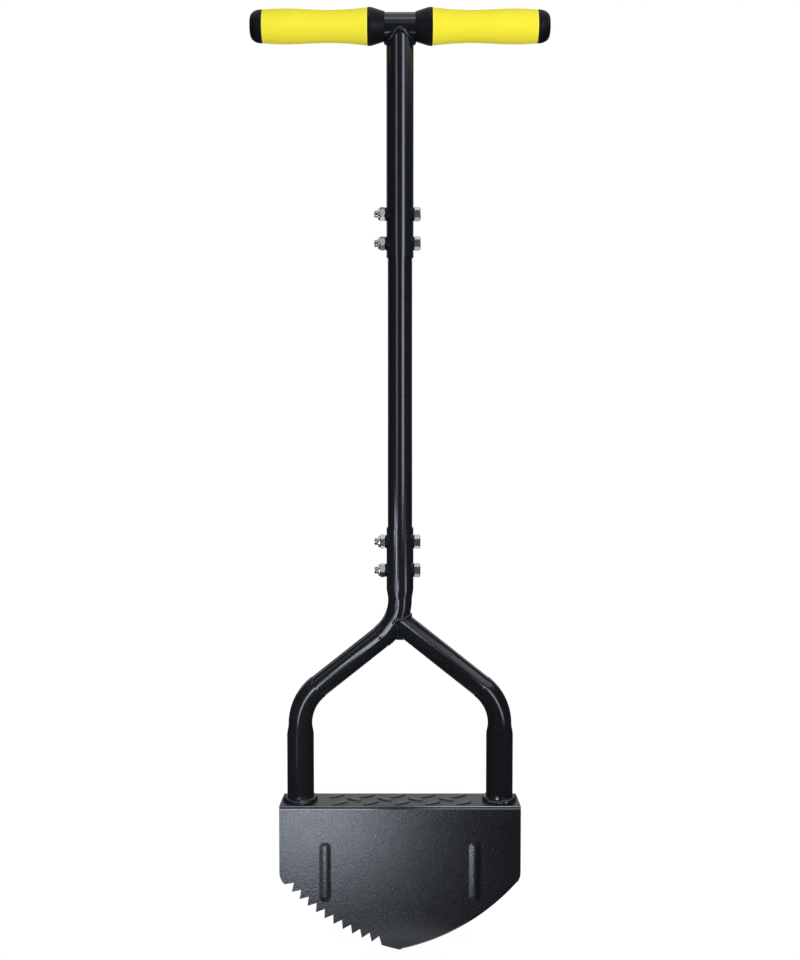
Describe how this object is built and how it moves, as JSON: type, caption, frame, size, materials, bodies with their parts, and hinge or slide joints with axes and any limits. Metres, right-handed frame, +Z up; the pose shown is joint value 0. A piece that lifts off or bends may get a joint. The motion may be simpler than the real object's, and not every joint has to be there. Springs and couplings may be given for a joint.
{
  "type": "half moon edger",
  "caption": "T-handled lawn edger: foam grips on a crossbar, bolted tube shaft, forked foot with a tread plate and a half moon blade with a saw edge on one side.",
  "frame": {"origin": "the ground under the shaft's axis, level with the blade's point", "axes": "+Z up the shaft, X along the handle bar with the saw edge on -X, -Y out of the blade's front face"},
  "size_m": [0.306, 0.0447, 0.9751],
  "materials": {
    "tube_black": "gloss black powder coat",
    "weld_black": "gloss black powder coat over a weld bead",
    "plate_black": "satin black powder coat",
    "blade_black": "fine-textured satin black powder coat",
    "grip_foam": "matte yellow foam with a fine grain",
    "grip_plastic": "satin black moulded plastic",
    "washer_plastic": "matte black moulded plastic",
    "zinc": "bright zinc plate",
    "nylon": "natural white nylon"
  },
  "bodies": {
    "root": {"handle_bar": "tube_black", "left_grip_collar": "grip_plastic", "right_grip_collar": "grip_plastic", "left_grip_sleeve": "grip_foam", "right_grip_sleeve": "grip_foam", "left_end_cap": "grip_plastic", "right_end_cap": "grip_plastic", "upper_shaft": "tube_black", "handle_weld": "weld_black", "middle_tube": "tube_black", "upper_bolts": "zinc", "upper_nuts": "zinc", "upper_nut_inserts": "nylon", "upper_saddle_washers": "washer_plastic", "lower_bolts": "zinc", "lower_nuts": "zinc", "lower_nut_inserts": "nylon", "lower_saddle_washers": "washer_plastic", "left_leg": "tube_black", "right_leg": "tube_black", "fork_weld": "weld_black", "footplate": "plate_black", "left_foot_weld": "weld_black", "right_foot_weld": "weld_black", "blade": "blade_black", "blade_weld": "weld_black"}
  },
  "joints": []
}
